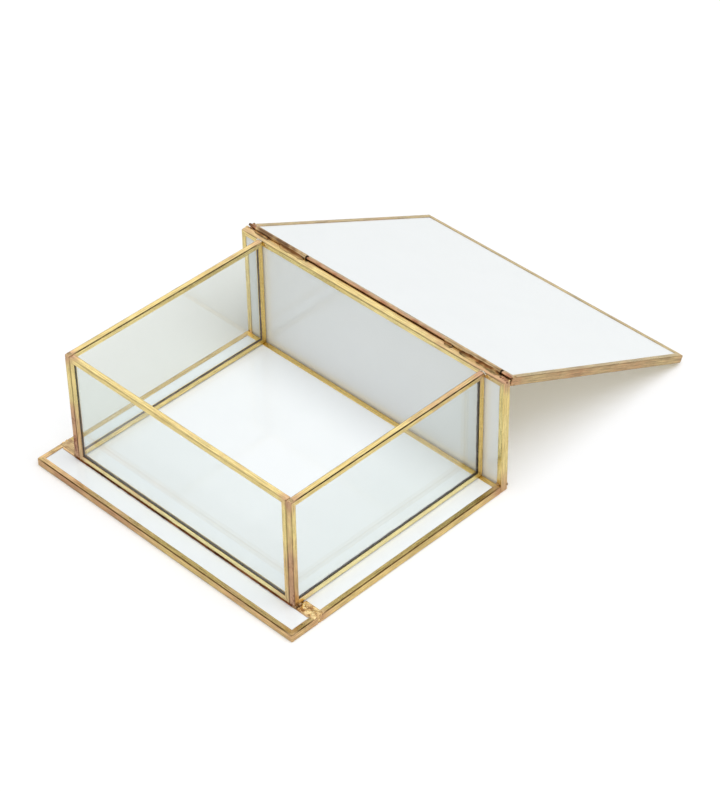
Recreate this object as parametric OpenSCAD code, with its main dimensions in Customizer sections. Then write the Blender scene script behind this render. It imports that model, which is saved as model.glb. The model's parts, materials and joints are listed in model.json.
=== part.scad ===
// Book-shaped keepsake casket. White covers and a white spine, each edged
// in folded brass channel, hold three clear walls between them. The top
// cover turns back on a rod in two tubes soldered along the spine, and
// stops on their solder with its far edge just above the table.
// Millimetres, Z up. The origin is on the table under the middle of the
// spine, and the box lies toward -Y.

/* [Covers] */
// Width of both covers and of the spine, along the hinge
cover_w = 220; // [180:1:260]
// Depth of the bottom cover, from its front edge to the back of the spine
cover_d = 180; // [150:1:220]
// Height of the spine, which is also the height of the walls' top edge
spine_h = 84.4; // [60:0.2:110]
// Thickness of the white panels
panel_t = 4.4; // [3:0.1:6]
// Depth of the front strip, a panel of its own whose back edge carries the front wall
strip_d = 21.3; // [15:0.1:40]
// Gap between the front strip and the main panel, filled with solder at its ends
strip_gap = 0.8; // [0.4:0.1:1.2]

/* [Top cover] */
// How far the closed top cover reaches past the bottom cover's front edge
lid_over = 1; // [0:0.5:5]
// Gap under the top cover when it is closed
lid_gap = 1; // [0.9:0.1:1.4]
// Height of the top cover's far edge above the table when it is open
far_rise = 2; // [0.5:0.1:5]

/* [Walls] */
// How far the side walls stand in from the sides of the covers
side_inset = 15; // [10:0.5:25]
// Thickness of the clear panes
pane_t = 3; // [2:0.1:4]

/* [Brass channel] */
// Thickness of the brass sheet that the channel is folded from
sheet_t = 0.5; // [0.3:0.05:0.7]
// Width of the channel's two flanges
flange_w = 3.6; // [3:0.1:4]
// Inner radius of the channel's folds
fold_in = 0.3; // [0.1:0.05:0.4]
// Clearance on each face of a pane in its channel
face_gap = 0.1; // [0.05:0.01:0.2]
// Clearance between a pane's edge and the channel's floor
edge_gap = 0.3; // [0.1:0.05:0.6]

/* [Hinge] */
// Outer diameter of the hinge tubes
tube_od = 3; // [2.6:0.1:3.4]
// Diameter of the hinge rod
rod_d = 1.8; // [1.4:0.1:2]
// Radial clearance of the rod in its tubes
rod_gap = 0.08; // [0.03:0.01:0.1]
// Length of each tube
tube_len = 44.5; // [30:0.5:55]
// Distance from the covers' side to a tube's outer end
tube_inset = 7.5; // [6:0.5:15]
// Running gap between the tubes and the top cover's edge
hinge_gap = 0.3; // [0.2:0.05:0.5]
// Film of solder between a tube and the fold that it lies on
film_t = 0.03; // [0.01:0.01:0.1]

/* [Solder] */
// Length of the fillet at each tube's inner end
fillet_in = 19; // [10:1:22]
// Length of the fillet at each tube's outer end
fillet_out = 6; // [4:0.5:7]
// Distance from a tube's ends to its fillets
fillet_set = 1; // [0.5:0.1:2]
// How far the rod's solder climbs the top cover's edge
rod_lap = 2.3; // [1.6:0.1:3]
// Height of the solder above the covers' channel at the strip
bead_rise = 0.5; // [0.3:0.1:0.8]
// Radius of the solder drops in the corners
drop_r = 1.2; // [0.8:0.1:1.6]
// Height of the smooth solder on the walls' front top corners
dome_rise = 0.3; // [0.1:0.05:0.5]
// Gap between a tube's end and the solder that turns with the top cover
end_gap = 0.5; // [0.3:0.1:1]

/* [Hidden] */
$fn = 48;
fold_r = fold_in + sheet_t;
cover_t = panel_t + 2 * (face_gap + sheet_t);
wall_t = pane_t + 2 * (face_gap + sheet_t);
half_w = cover_w / 2;
y_back = cover_t / 2;
y_in = -cover_t / 2;
y_front = y_back - cover_d;
base_y = y_front + strip_d + strip_gap;
base_d = y_in - base_y;
wall_y = y_front + strip_d - wall_t;
wall_x = half_w - side_inset;
wall_d = y_in - wall_y;
wall_h = spine_h - cover_t;
front_w = 2 * (wall_x - wall_t);
tube_r = tube_od / 2;
rod_r = rod_d / 2;
tube_x = half_w - tube_inset - tube_len;
// The tubes lie against the fold along the top of the spine's back.
seat = (fold_r + tube_r + film_t) * sin(45) - fold_r;
axis_y = y_back + seat;
axis_z = spine_h + seat;
lid_off = tube_r + hinge_gap;
lid_z = spine_h + lid_gap;
lid_d = axis_y - lid_off - y_front + lid_over;
// Middle of the fold on the top cover's far upper edge, seen from the axis.
// Open, this fold is the lowest of the cover.
far_u = lid_off + lid_d - fold_r;
far_v = lid_z + cover_t - fold_r - axis_z;
far_reach = sqrt(far_u * far_u + far_v * far_v);
far_turn = atan2(far_v, -far_u) + asin((axis_z - fold_r - far_rise) / far_reach);
// The open cover's near edge stops here. On a tall box it meets the flange
// on the spine's back first.
stop_u = lid_off - rod_gap;
edge_reach = sqrt(seat * seat + pow(flange_w + seat, 2));
edge_turn = 180 + asin(stop_u / edge_reach) + atan2(seat, flange_w + seat);
open_turn = min(far_turn, edge_turn);
lug_len = tube_inset - end_gap - fold_r;
// Angles at which the rod's solder leaves the rod, above and below its middle
lap_over = 65;
lap_under = 40;

// Section of the folded channel. Its outer edge lies on y = 0 and its
// flanges reach to y = flange_w, on both sides of a pane of thickness t.
module channel_outline(t) {
    translate([-t / 2, fold_r]) square([t, flange_w - fold_r]);
    translate([-t / 2 + fold_r, 0]) square([t - 2 * fold_r, flange_w]);
    for (s = [-1, 1]) translate([s * (t / 2 - fold_r), fold_r]) circle(fold_r);
}

module channel_section(t) {
    difference() {
        channel_outline(t);
        translate([-t / 2 + sheet_t, fold_r]) square([t - 2 * sheet_t, flange_w]);
        translate([-t / 2 + fold_r, sheet_t]) square([t - 2 * fold_r, flange_w]);
        for (s = [-1, 1]) translate([s * (t / 2 - fold_r), fold_r]) circle(fold_in);
    }
}

// One length of channel along X, mitred at both ends
module channel(len, t) {
    intersection() {
        rotate([90, 0, 90]) linear_extrude(len, center = true) rotate(90) mirror([0, 1]) channel_section(t);
        linear_extrude(t + 1, center = true)
            polygon([[-len / 2, 0], [len / 2, 0],
                [len / 2 - flange_w - 1, flange_w + 1], [-len / 2 + flange_w + 1, flange_w + 1]]);
    }
}

// The channel on one side of a panel that lies in XY around the origin:
// side 0 is at -Y, then the others follow counter-clockwise
module edge_channel(w, d, t, side) {
    long = side % 2 == 0 ? w : d;
    across = side % 2 == 0 ? d : w;
    color([0.80, 0.64, 0.35]) rotate(side * 90) translate([0, -across / 2, 0]) channel(long, t);
}

// The pane that those four channels hold
module held_pane(w, d, t) {
    inset = 2 * (sheet_t + edge_gap);
    cube([w - inset, d - inset, t], center = true);
}

// Where each panel stands
module at_strip() { translate([0, y_front + strip_d / 2, cover_t / 2]) children(); }
module at_base() { translate([0, base_y + base_d / 2, cover_t / 2]) children(); }
module at_spine() { translate([0, 0, spine_h / 2]) rotate([90, 0, 0]) children(); }
module at_front() {
    translate([0, wall_y + wall_t / 2, cover_t + wall_h / 2]) rotate([90, 0, 0]) children();
}
module at_side(s) {
    translate([s * (wall_x - wall_t / 2), wall_y + wall_d / 2, cover_t + wall_h / 2])
        rotate([90, 0, 90]) children();
}
// What turns with the top cover is drawn as closed, with the hinge's axis
// on X, and then laid back
module laid_back() { translate([0, axis_y, axis_z]) rotate([-open_turn, 0, 0]) children(); }
module at_lid() {
    laid_back() translate([0, -lid_off - lid_d / 2, lid_z + cover_t / 2 - axis_z]) children();
}

module white(w, d) { color([0.95, 0.96, 0.97]) held_pane(w, d, panel_t); }
module clear(w, d) { color([0.80, 0.88, 0.86, 0.35]) held_pane(w, d, pane_t); }

module base_panel() { at_base() white(cover_w, base_d); }
module base_came(side) { at_base() edge_channel(cover_w, base_d, cover_t, side); }
module strip_panel() { at_strip() white(cover_w, strip_d); }
module strip_came(side) { at_strip() edge_channel(cover_w, strip_d, cover_t, side); }
module spine_panel() { at_spine() white(cover_w, spine_h); }
module spine_came(side) { at_spine() edge_channel(cover_w, spine_h, cover_t, side); }
module front_glass() { at_front() clear(front_w, wall_h); }
module front_came(side) { at_front() edge_channel(front_w, wall_h, wall_t, side); }
module side_glass(s) { at_side(s) clear(wall_d, wall_h); }
module side_came(s, side) { at_side(s) edge_channel(wall_d, wall_h, wall_t, side); }
module lid_panel() { at_lid() white(cover_w, lid_d); }
module lid_came(side) { at_lid() edge_channel(cover_w, lid_d, cover_t, side); }

// Tube on the spine, on side s, bored for the rod
module hinge_tube(s) {
    color([0.66, 0.50, 0.28]) translate([s * (tube_x + tube_len / 2), axis_y, axis_z]) rotate([0, 90, 0])
        difference() {
            cylinder(h = tube_len, r = tube_r, center = true);
            cylinder(h = tube_len + 1, r = rod_r + rod_gap, center = true);
        }
}

module hinge_rod() {
    color([0.78, 0.50, 0.38]) translate([0, axis_y, axis_z]) rotate([0, 90, 0])
        cylinder(h = cover_w - 2 * fold_r, r = rod_r, center = true);
}

// Outline of the spine's top in the plane across the hinge, as [y, z]
module spine_top_outline() {
    translate([0, spine_h]) mirror([0, 1]) channel_outline(cover_t);
}

// A point on the plane where the open cover's near edge stops, as [y, z],
// v below the axis along that edge
function on_stop(v) = [axis_y - stop_u * cos(open_turn) + v * sin(open_turn),
    axis_z + stop_u * sin(open_turn) + v * cos(open_turn)];

// Solder between a tube and the spine, len long, from x on: a fillet on top
// of the spine, and on its back the pad that the open cover stops on
module tube_fillet(x, len) {
    rise = lid_gap - hinge_gap;
    foot = seat + tube_r;
    shoulder = foot / 6;
    pad_foot = (spine_h - flange_w - on_stop(0)[1]) / cos(open_turn);
    translate([x, 0, 0]) rotate([90, 0, 90]) linear_extrude(len) difference() {
        polygon([[y_back - foot, spine_h - fold_r], [y_back - foot, spine_h],
            [y_back - shoulder, spine_h + rise], [y_back + rise, spine_h - shoulder],
            on_stop(tube_r / 2), on_stop(pad_foot),
            [y_back, spine_h - flange_w], [y_back - fold_r, spine_h - flange_w]]);
        translate([axis_y, axis_z]) circle(tube_r);
        spine_top_outline();
    }
}

module tube_solder(s) {
    color([0.50, 0.32, 0.18]) mirror([s < 0 ? 1 : 0, 0, 0]) {
        tube_fillet(tube_x + fillet_set, fillet_in);
        tube_fillet(tube_x + tube_len - fillet_out - fillet_set, fillet_out);
    }
}

// Solder that holds the rod to the top cover's edge, from x on
module rod_fillet(x, len) {
    low = lid_z - axis_z;
    translate([x, 0, 0]) rotate([90, 0, 90]) linear_extrude(len) difference() {
        polygon([[-lid_off - fold_r, low], [-lid_off - fold_r, rod_lap], [-lid_off, rod_lap],
            rod_r * [-cos(lap_over), sin(lap_over)], [0, 0],
            rod_r * [-cos(lap_under), -sin(lap_under)], [-lid_off, low]]);
        circle(rod_r);
        translate([-lid_off, low + cover_t / 2]) rotate(90) channel_outline(cover_t);
    }
}

module rod_solder() {
    color([0.76, 0.48, 0.36]) laid_back() {
        rod_fillet(-tube_x + end_gap, 2 * (tube_x - end_gap));
        for (s = [0, 1]) mirror([s, 0, 0]) rod_fillet(half_w - fold_r - lug_len, lug_len);
    }
}

// Bead in the gap behind the front strip, outside the wall on side s
module strip_solder(s) {
    len = side_inset - fold_r - face_gap;
    bead_r = flange_w / 2;
    half = len / 2;
    color([0.84, 0.68, 0.40]) difference() {
        translate([s * (wall_x + face_gap + half), base_y - strip_gap / 2, cover_t + bead_rise - bead_r])
            rotate([0, 90, 0]) rotate_extrude()
                polygon([[0, -half], [bead_r / 2, -half], [bead_r, bead_r - half],
                    [bead_r, half - bead_r], [bead_r / 2, half], [0, half]]);
        at_strip() rotate(180) strip_block(strip_d);
        at_base() strip_block(base_d);
    }
}

// A bar with the outline of the channel at -Y and the panel behind it
module strip_block(d) {
    translate([0, -d / 2, 0]) rotate([90, 0, 90]) linear_extrude(cover_w + 2, center = true)
        rotate(90) mirror([0, 1]) union() {
            channel_outline(cover_t);
            translate([-cover_t / 2, flange_w / 2]) square([cover_t, flange_w * 2]);
        }
}

// Smooth low solder over the joint on top of each front corner
module corner_solder() {
    color([0.72, 0.56, 0.42]) for (s = [-1, 1])
        translate([s * (wall_x - wall_t / 2), wall_y + wall_t / 2, spine_h])
            cylinder(h = dome_rise, r1 = (wall_t - fold_r) / 2, r2 = (wall_t - fold_r) / 3);
}

// Drops of solder in the corners: where the walls meet the spine and the
// strip, and on the main panel's back corners
module drop_solder() {
    color([0.80, 0.58, 0.30]) difference() {
        for (s = [-1, 1]) {
            for (x = [wall_x, wall_x - wall_t])
                translate([s * x, y_in, spine_h - drop_r]) sphere(drop_r);
            translate([s * (half_w - flange_w / 2 - drop_r), y_in, cover_t]) sphere(drop_r);
            translate([s * wall_x, wall_y + drop_r / 2, cover_t]) sphere(drop_r);
        }
        translate([-half_w, y_in, 0]) cube([cover_w, cover_t, spine_h]);
        translate([-half_w, y_front, 0]) cube([cover_w, cover_d, cover_t]);
        for (s = [-1, 1]) at_side(s) cube([wall_d, wall_h + 1, wall_t], center = true);
    }
}

base_panel();
base_came(0);  // base_came_front
base_came(1);  // base_came_right
base_came(2);  // base_came_back
base_came(3);  // base_came_left
strip_panel();
strip_came(0);  // strip_came_front
strip_came(1);  // strip_came_right
strip_came(2);  // strip_came_back
strip_came(3);  // strip_came_left
spine_panel();
spine_came(0);  // spine_came_bottom
spine_came(1);  // spine_came_right
spine_came(2);  // spine_came_top
spine_came(3);  // spine_came_left
front_glass();
front_came(0);  // front_came_bottom
front_came(1);  // front_came_right
front_came(2);  // front_came_top
front_came(3);  // front_came_left
side_glass(1);  // right_glass
side_came(1, 0);  // right_came_bottom
side_came(1, 1);  // right_came_back
side_came(1, 2);  // right_came_top
side_came(1, 3);  // right_came_front
side_glass(-1);  // left_glass
side_came(-1, 0);  // left_came_bottom
side_came(-1, 1);  // left_came_back
side_came(-1, 2);  // left_came_top
side_came(-1, 3);  // left_came_front
lid_panel();
lid_came(0);  // lid_came_front
lid_came(1);  // lid_came_right
lid_came(2);  // lid_came_hinge
lid_came(3);  // lid_came_left
hinge_tube(-1);  // hinge_tube_left
hinge_tube(1);  // hinge_tube_right
hinge_rod();
tube_solder(-1);  // tube_solder_left
tube_solder(1);  // tube_solder_right
rod_solder();
strip_solder(-1);  // strip_solder_left
strip_solder(1);  // strip_solder_right
corner_solder();
drop_solder();
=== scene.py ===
import json
import math
import bmesh
import bpy
import numpy as np
from mathutils import Matrix


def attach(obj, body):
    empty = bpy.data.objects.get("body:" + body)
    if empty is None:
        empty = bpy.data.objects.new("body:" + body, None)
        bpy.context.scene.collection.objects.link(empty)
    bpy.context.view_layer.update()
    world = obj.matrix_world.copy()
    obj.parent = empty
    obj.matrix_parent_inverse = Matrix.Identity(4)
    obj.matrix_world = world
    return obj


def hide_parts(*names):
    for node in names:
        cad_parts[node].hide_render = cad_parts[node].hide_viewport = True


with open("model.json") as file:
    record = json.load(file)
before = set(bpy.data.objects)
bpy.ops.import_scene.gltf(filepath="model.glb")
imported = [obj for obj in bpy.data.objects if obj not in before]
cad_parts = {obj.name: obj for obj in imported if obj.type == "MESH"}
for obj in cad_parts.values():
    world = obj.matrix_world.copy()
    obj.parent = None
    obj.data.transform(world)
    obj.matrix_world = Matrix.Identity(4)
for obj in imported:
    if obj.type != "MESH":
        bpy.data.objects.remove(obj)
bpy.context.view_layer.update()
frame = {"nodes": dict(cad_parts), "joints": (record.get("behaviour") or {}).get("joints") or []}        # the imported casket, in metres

mm = 0.001
print("casket: frame loaded")


# where things are

hinge = frame["joints"][0]
hingeAt = np.array(hinge["pos_m"]) / mm
lidTurn = math.radians(hinge["range_deg"][1])


def turned(points, angle):
    # The points turned about the hinge's own line by an angle: y and z mix as cosine and sine.
    y, z = points[..., 1] - hingeAt[1], points[..., 2] - hingeAt[2]
    c, s = math.cos(angle), math.sin(angle)
    return np.stack([points[..., 0], hingeAt[1] + y * c - z * s, hingeAt[2] + y * s + z * c], -1)


def nodeBox(node, closed=False):
    # Lowest and highest corner of a node in mm. With closed, the top cover is first turned shut.
    mesh = frame["nodes"][node].data
    co = np.empty(len(mesh.vertices) * 3)
    mesh.vertices.foreach_get("co", co)
    co = co.reshape(-1, 3) / mm
    if closed:
        co = turned(co, lidTurn)
    return co.min(0), co.max(0)


# places and sizes in mm
baseLow, baseHigh = nodeBox("base_came_right")
stripLow, stripHigh = nodeBox("strip_came_right")
spineLow, spineHigh = nodeBox("spine_came_top")
wallLow, wallHigh = nodeBox("right_came_top")
lidLow, lidHigh = nodeBox("lid_came_hinge", closed=True)
half = baseHigh[0]   # half the width over all
wallSide, wallInner = wallHigh[0], wallLow[0]   # outer and inner face of the side walls
wallFront, inBack = wallLow[1], spineLow[1]   # front of the front wall, front of the spine
wallWidth = wallHigh[2] - wallLow[2]   # width of the walls' channel
front, back = stripLow[1], spineHigh[1]   # front of the strip, back of the spine
gapMiddle = (stripHigh[1] + baseLow[1]) / 2   # middle of the gap between the strip and the main cover
thick, top = stripHigh[2], spineHigh[2]   # top of the covers' channel, top of the spine
tableGap = 0.01   # nothing of the box comes closer to the table
hottest = 1.3   # the most that the torch tints, without a unit
axisX, axisY, axisZ = 0, 1, 2


# helpers for shapes

def waves(points, size, seed, count=26):
    # A sum of sine waves in random directions, with crests about size apart and a spread of one.
    rng = np.random.default_rng(seed)
    way = rng.normal(size=(count, 3))
    way *= (2 * math.pi / size * rng.uniform(0.6, 1.5, count) / np.linalg.norm(way, axis=1))[:, None]
    return np.sin(points @ way.T + rng.uniform(0, 2 * math.pi, count)).sum(-1) * math.sqrt(2 / count)


def smooth(x, low, high):
    # Nought below low, one above high, and a cubic between them.
    t = np.clip((x - low) / (high - low), 0, 1)
    return t * t * (3 - 2 * t)


def gridFaces(rows, columns):
    # Quads between neighbouring rows of a grid whose columns close on themselves.
    i, j = np.arange(rows - 1)[:, None], np.arange(columns)[None, :]
    a, b = i * columns + j, i * columns + (j + 1) % columns
    return np.stack([a, b, b + columns, a + columns], -1).reshape(-1, 4)


def ringFaces(rows, columns, start=0):
    # The wall of quads between the rings, and one flat face on each end ring.
    ends = np.arange(columns)[None] + start
    return [gridFaces(rows, columns) + start, ends, ends + (rows - 1) * columns]


def fanFaces(ring, middle):
    # Triangles from a ring of points to one middle point.
    return np.stack([ring, np.roll(ring, -1), np.full(len(ring), middle)], -1)


def metalValues(torch, lay, crease=None, most=hottest):
    # What the metals read at each point: the torch's tint held between nought and the most, the dark line of
    # a fold or seam, partly painted shade, and lay.
    return {"torch": np.clip(torch, 0, most), "crease": 0 * torch if crease is None else crease, "lay": lay}


def addPiece(name, points, faces, finish, body, nodes, values=None, sharp=40):
    # Puts a worked-out surface into a mesh, faces outward, and gives it its place in the casket.
    mesh = bpy.data.meshes.new(name)
    mesh.from_pydata((points * mm).tolist(), [], [list(f) for part in faces for f in part.tolist()])
    shell = bmesh.new()
    shell.from_mesh(mesh)
    bmesh.ops.recalc_face_normals(shell, faces=shell.faces)
    shell.to_mesh(mesh)
    shell.free()
    for key, value in (values or {}).items():
        kind = "FLOAT_VECTOR" if value.ndim == 2 else "FLOAT"
        field = "vector" if value.ndim == 2 else "value"
        attribute = mesh.attributes.new(key, kind, "POINT")
        attribute.data.foreach_set(field, value.astype(np.float32).ravel())
    mesh.shade_smooth()
    mesh.set_sharp_from_angle(angle=math.radians(sharp))
    mesh.materials.append(finish["material"])
    piece = bpy.data.objects.new(name, mesh)
    bpy.context.scene.collection.objects.link(piece)
    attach(piece, body)
    if nodes:
        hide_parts(*nodes)


# helpers for materials

def addNode(tree, kind, inputs=None, **settings):
    # A node with its settings. Each input is a plain value or another node's output.
    node = tree.nodes.new("ShaderNode" + kind)
    for key, value in settings.items():
        setattr(node, key, value)
    for key, value in (inputs or {}).items():
        if isinstance(value, bpy.types.NodeSocket):
            tree.links.new(value, node.inputs[key])
        else:
            node.inputs[key].default_value = value
    return node


def blendColour(tree, factor, first, second, kind="MIX"):
    # The first colour at a factor of nought, the second at one.
    values = {0: factor, 6: first, 7: second}
    return addNode(tree, "Mix", values, data_type="RGBA", blend_type=kind).outputs[2]


def blendValue(tree, factor, first, second):
    # The first value at a factor of nought, the second at one.
    return addNode(tree, "Mix", {0: factor, 2: first, 3: second}, data_type="FLOAT").outputs[0]


def sums(tree, kind, first, second):
    # Two values joined by a kind of sum, such as ADD or MAXIMUM.
    return addNode(tree, "Math", {0: first, 1: second}, operation=kind).outputs[0]


def rise(tree, value, low, high, start=0.0, end=1.0):
    # From start to end on a cubic while the value goes from low to high.
    return addNode(tree, "MapRange", {0: value, 1: low, 2: high, 3: start, 4: end},
        interpolation_type="SMOOTHSTEP").outputs[0]


def bumps(tree, vector, size, detail=2.0, rough=0.5):
    # Noise with its bumps about size mm apart.
    return addNode(tree, "TexNoise", {"Vector": vector, "Scale": 1 / (size * mm), "Detail": detail,
        "Roughness": rough}).outputs[0]


def relief(tree, strength, distance, height):
    # A bump of the surface, its distance in mm.
    values = {"Strength": strength, "Distance": distance * mm, "Height": height}
    return addNode(tree, "Bump", values).outputs[0]


def startMaterial(name):
    # An empty material, its node tree and its output.
    material = bpy.data.materials.new(name)
    material.use_nodes = True
    tree = material.node_tree
    tree.nodes.clear()
    return material, tree, addNode(tree, "OutputMaterial")


# brass and solder

brassLook = {
    "yellow": (0.95, 0.72, 0.32, 1), "olive": (0.57, 0.42, 0.15, 1), "tan": (0.86, 0.58, 0.30, 1),
    # the fold's dark line colour is partly tarnish and partly painted shade
    "pink": (0.68, 0.40, 0.22, 1), "brown": (0.16, 0.085, 0.035, 1), "crease": (0.10, 0.052, 0.018, 1),
    # the colour in the channel's hollow is painted shade
    "inside": (0.30, 0.24, 0.21, 1), "roughLow": 0.18, "roughHigh": 0.42,
    "streak": 0.40, "bump": 0.3,      # how dark the streaks are, painted dark reflection lines, and how deep
    "blotch": 0.6, "flange": 0.8,     # how patchy the tint is, and how olive the flanges are, a painted darker reflection
    "creaseHalf": 32,                 # degrees of the fold that its dark line, partly tarnish and partly painted shade, covers each way
}


def brassMaterial(name, slot, look):
    # Yellow brass with olive patches and fine lengthwise streaks, the streaks painted highlights and dark
    # reflection lines.
    # The attribute torch plus a mottling takes it to tan, pink and then brown, the dark-line attribute draws
    # the fold's dark line, partly tarnish and partly painted shade, and lay holds mm along, mm around, and 1
    # on a flange, painted a darker olive as a reflection, or 2 inside the channel, painted shade there.
    look = {**brassLook, **look}
    material, tree, end = startMaterial(name)
    place = addNode(tree, "TexCoord").outputs["Object"]
    lay = addNode(tree, "Attribute", attribute_name="lay").outputs["Vector"]
    heat = addNode(tree, "Attribute", attribute_name="torch").outputs["Fac"]
    crease = addNode(tree, "Attribute", attribute_name="crease").outputs["Fac"]
    part = addNode(tree, "SeparateXYZ", {0: lay}).outputs[2]
    along = addNode(tree, "Mapping", {"Vector": lay, "Scale": (0.04, 0.8, 0)}, vector_type="POINT").outputs[0]
    streak, hair = (addNode(tree, "TexNoise", {"Vector": along, "Scale": scale, "Detail": detail,
        "Roughness": rough}).outputs[0] for scale, detail, rough in ((1.6, 4.0, 0.62), (3.3, 2.0, 0.5)))
    blotch = bumps(tree, place, 7, 3.0)
    patch = bumps(tree, place, 19, 2.0)
    speck = bumps(tree, place, 1.1, 3.0)
    mottle = sums(tree, "MULTIPLY", sums(tree, "SUBTRACT", blotch, 0.5), look["blotch"])
    warmth = sums(tree, "ADD", heat, mottle)
    # olive in random patches, and on the flanges as a painted darker reflection
    olive = sums(tree, "MAXIMUM", rise(tree, patch, 0.42, 0.70, 0.0, 0.35),
        sums(tree, "MULTIPLY", rise(tree, part, 0.3, 0.9), look["flange"]))
    colour = blendColour(tree, olive, look["yellow"], look["olive"])
    colour = blendColour(tree, rise(tree, warmth, 0.12, 0.50), colour, look["tan"])
    colour = blendColour(tree, rise(tree, warmth, 0.45, 0.90), colour, look["pink"])
    burnt = sums(tree, "ADD", warmth, sums(tree, "SUBTRACT", speck, 0.5))
    colour = blendColour(tree, rise(tree, burnt, 1.05, 1.45), colour, look["brown"])
    # the streaks lighten and darken the colour: painted highlights and dark reflection lines
    shade = sums(tree, "MULTIPLY", rise(tree, streak, 0.32, 0.68, 1.0 - look["streak"], 1.06),
        rise(tree, hair, 0.58, 0.72, 1.0, 1.0 - look["streak"]))
    gray = addNode(tree, "CombineColor", {0: shade, 1: shade, 2: shade}).outputs[0]
    colour = blendColour(tree, 1.0, colour, gray, "MULTIPLY")
    # the fold's dark line: partly tarnish, partly painted shade
    line = sums(tree, "MULTIPLY", crease, rise(tree, bumps(tree, place, 4, 2.0), 0.25, 0.6, 0.85, 1.0))
    colour = blendColour(tree, line, colour, look["crease"])
    # painted shade inside the channel
    colour = blendColour(tree, rise(tree, part, 1.1, 1.9), colour, look["inside"])
    grit = sums(tree, "ADD", sums(tree, "MULTIPLY", blotch, 0.5), sums(tree, "MULTIPLY", streak, 0.5))
    dull = sums(tree, "ADD", grit, sums(tree, "MULTIPLY", heat, 0.25))
    roughness = rise(tree, dull, 0.3, 0.8, look["roughLow"], look["roughHigh"])
    height = sums(tree, "ADD", sums(tree, "MULTIPLY", streak, 0.5), sums(tree, "MULTIPLY", speck, heat))
    shader = addNode(tree, "BsdfPrincipled", {"Base Color": colour, "Metallic": 1.0, "Roughness": roughness,
        "Normal": relief(tree, look["bump"], 0.06, height)}).outputs[0]
    # The panels beside it see it as plain colour, because a diffuse ray that meets a mirror is cut short.
    plain = addNode(tree, "BsdfDiffuse", {0: colour}).outputs[0]
    bounce = addNode(tree, "LightPath").outputs["Is Diffuse Ray"]
    tree.links.new(addNode(tree, "MixShader", {0: bounce, 1: shader, 2: plain}).outputs[0], end.inputs[0])
    return {"material": material, "slot": slot, "creaseHalf": look["creaseHalf"]}


coverBrass = brassMaterial("coverBrass", "cover_channel", {})
brightBrass = {
    "yellow": (0.99, 0.80, 0.36, 1), "olive": (0.90, 0.64, 0.22, 1), "tan": (0.83, 0.58, 0.30, 1),
    "pink": (0.75, 0.46, 0.28, 1), "brown": (0.34, 0.13, 0.08, 1), "crease": (0.022, 0.014, 0.008, 1),
    "flange": 0.1, "streak": 0.36, "creaseHalf": 31}
# a deeper gold and a paler brass: lit copies that stand for painted reflections
mirroredGoldLook = {**brightBrass, "yellow": (0.99, 0.73, 0.27, 1), "olive": (0.95, 0.66, 0.22, 1), "streak": 0.2}
paleReflectionLook = {**brightBrass, "yellow": (1.0, 0.87, 0.45, 1), "olive": (0.97, 0.76, 0.34, 1), "streak": 0.22}
wallBrass = brassMaterial("wallBrass", "wall_channel", brightBrass)
postBrass = brassMaterial("postBrass", "wall_channel", mirroredGoldLook)
spineBrass = brassMaterial("spineBrass", "cover_channel", {**brightBrass, "creaseHalf": 26})
footBrass = brassMaterial("footBrass", "wall_channel", paleReflectionLook)
innerBrass = brassMaterial("innerBrass", "cover_channel", mirroredGoldLook)
lidBrass = brassMaterial("lidBrass", "cover_channel", {
    "yellow": (0.74, 0.57, 0.29, 1), "olive": (0.62, 0.48, 0.25, 1), "tan": (0.68, 0.48, 0.26, 1),
    "flange": 0.5, "streak": 0.45, "creaseHalf": 24})
tubeBrass = brassMaterial("tubeBrass", "hinge_tube", {
    "yellow": (0.74, 0.53, 0.29, 1), "olive": (0.58, 0.41, 0.21, 1), "tan": (0.58, 0.38, 0.19, 1),
    "pink": (0.33, 0.19, 0.095, 1), "brown": (0.07, 0.035, 0.018, 1), "crease": (0.012, 0.008, 0.006, 1),
    "roughLow": 0.28, "roughHigh": 0.5, "streak": 0.45, "blotch": 1.3})
rodBrass = brassMaterial("rodBrass", "hinge_rod", {
    "yellow": (0.66, 0.42, 0.26, 1), "olive": (0.60, 0.38, 0.24, 1), "tan": (0.64, 0.38, 0.22, 1),
    "pink": (0.57, 0.28, 0.16, 1)})
darkSolder = brassMaterial("darkSolder", "dark_solder", {
    "yellow": (0.66, 0.44, 0.19, 1), "olive": (0.54, 0.34, 0.13, 1), "tan": (0.52, 0.30, 0.12, 1),
    "pink": (0.30, 0.13, 0.045, 1), "brown": (0.09, 0.036, 0.014, 1),
    "bump": 0.5, "blotch": 0.5, "streak": 0.8})
pinkSolder = brassMaterial("pinkSolder", "pink_solder", {
    "yellow": (0.74, 0.52, 0.28, 1), "olive": (0.70, 0.47, 0.26, 1), "tan": (0.70, 0.44, 0.25, 1),
    "pink": (0.62, 0.31, 0.18, 1), "brown": (0.05, 0.018, 0.01, 1), "bump": 0.4})
brightSolder = brassMaterial("brightSolder", "bright_solder", {
    "yellow": (0.95, 0.72, 0.37, 1), "olive": (0.80, 0.56, 0.25, 1), "tan": (0.76, 0.50, 0.23, 1),
    "pink": (0.42, 0.22, 0.08, 1), "roughLow": 0.12, "roughHigh": 0.28, "bump": 0.5, "streak": 0.15})
tanSolder = brassMaterial("tanSolder", "tan_solder", {
    "yellow": (0.66, 0.48, 0.25, 1), "olive": (0.57, 0.41, 0.21, 1), "tan": (0.56, 0.38, 0.20, 1),
    "pink": (0.44, 0.27, 0.14, 1), "bump": 0.4})
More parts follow.
